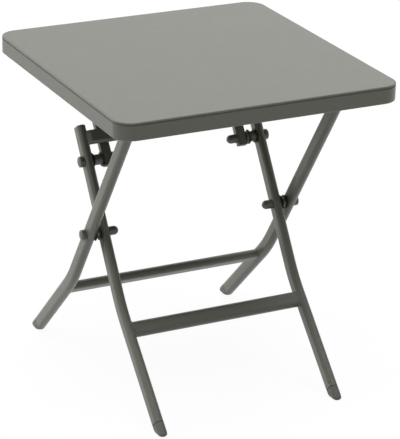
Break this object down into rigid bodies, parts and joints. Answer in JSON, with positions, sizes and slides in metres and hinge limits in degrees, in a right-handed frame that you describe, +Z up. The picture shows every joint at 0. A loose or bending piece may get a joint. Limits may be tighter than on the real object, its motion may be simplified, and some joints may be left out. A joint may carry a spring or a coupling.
{
  "type": "folding side table",
  "caption": "Folding side table: a pressed steel tray top with a turned-down edge, on two crossed frames of bent oval tube with rails, plastic feet and folding links.",
  "frame": {"origin": "On the floor, at the centre of the top seen from above, with the table standing open.", "axes": "+X to the right along the front edge, +Y towards the back, +Z up. The inner frame's feet are at the front (-Y)."},
  "size_m": [0.4, 0.412, 0.445],
  "materials": {
    "paint": "satin warm grey powder coat",
    "bracket_paint": "satin warm grey powder coat",
    "fastener": "satin warm grey paint over steel",
    "plastic": "matt moulded plastic"
  },
  "bodies": {
    "outer_frame": {"outer_leg_left": "paint", "outer_leg_right": "paint", "rear_rail": "paint", "cross_bolts": "fastener", "cross_spacers": "fastener", "cross_cap_nuts": "fastener", "rear_foot_left": "plastic", "rear_foot_right": "plastic", "outer_leg_plugs": "plastic"},
    "inner_frame": {"inner_leg_left": "paint", "inner_leg_right": "paint", "front_rail": "paint", "crossbar": "paint", "link_bolts": "fastener", "link_spacers": "fastener", "link_cap_nuts": "fastener", "front_foot_left": "plastic", "front_foot_right": "plastic", "inner_leg_plugs": "plastic"},
    "link_left": {"link_left": "paint", "link_plugs_left": "plastic", "link_collar_left": "paint"},
    "link_right": {"link_right": "paint", "link_plugs_right": "plastic", "link_collar_right": "paint"},
    "top": {"table_top": "paint", "front_bracket_left": "bracket_paint", "front_bracket_right": "bracket_paint", "rear_bracket_left": "bracket_paint", "rear_bracket_right": "bracket_paint", "hinge_bolts": "fastener", "hinge_nuts": "fastener", "hinge_washers": "plastic", "link_screws": "fastener"}
  },
  "joints": [
    {"name": "top_fold", "type": "hinge", "parent": "outer_frame", "child": "top", "pos_m": [0, -0.13845, 0.425], "axis": [1, 0, 0], "range_deg": [-48, 0]},
    {"name": "leg_fold", "type": "hinge", "parent": "outer_frame", "child": "inner_frame", "pos_m": [0, 0, 0.21582], "axis": [1, 0, 0], "range_deg": [0, 62]},
    {"name": "link_left_fold", "type": "hinge", "parent": "inner_frame", "child": "link_left", "pos_m": [0, 0.05469, 0.29845], "axis": [1, 0, 0], "range_deg": [-178.64, 0]},
    {"name": "link_right_fold", "type": "hinge", "parent": "inner_frame", "child": "link_right", "pos_m": [0, 0.05469, 0.29845], "axis": [1, 0, 0], "range_deg": [-178.64, 0]}
  ],
  "couplings": [
    {"joint": "leg_fold", "follows": "top_fold", "ratio": -1.2917},
    {"joint": "link_left_fold", "follows": "top_fold", "ratio": 3.7215},
    {"joint": "link_right_fold", "follows": "top_fold", "ratio": 3.7215}
  ]
}
